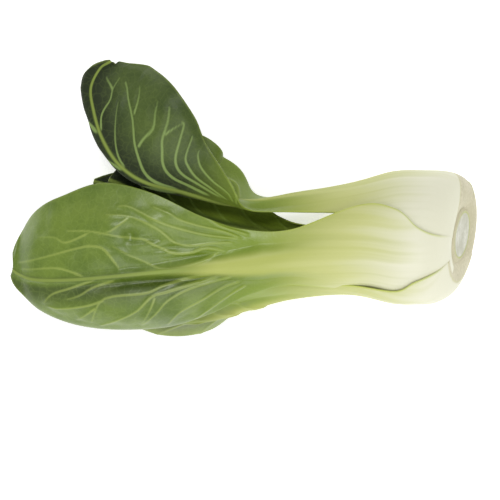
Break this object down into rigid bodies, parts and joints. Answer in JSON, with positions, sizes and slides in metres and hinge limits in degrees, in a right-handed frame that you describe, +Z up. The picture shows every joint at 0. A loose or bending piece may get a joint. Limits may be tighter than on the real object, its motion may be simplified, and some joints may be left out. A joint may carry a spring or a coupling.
{
  "type": "bok choy",
  "caption": "Head of green-stemmed bok choy lying on its side: thick clasping stalks round a cut root stem, running out into veined spoon-shaped leaves",
  "frame": {"origin": "on the table under the middle of the head's box", "axes": "+X to the cut root end, +Y to the side where the outer leaf stands off, +Z up from the table"},
  "size_m": [0.199, 0.1166, 0.0564],
  "materials": {
    "leaf": "satin",
    "stem": "matte"
  },
  "bodies": {
    "root": {"leaf_front": "leaf", "leaf_side": "leaf", "leaf_lower": "leaf", "leaf_under": "leaf", "leaf_inner_upper": "leaf", "leaf_inner_lower": "leaf", "leaf_heart_upper": "leaf", "leaf_heart_lower": "leaf", "root_stem": "stem"}
  },
  "joints": []
}
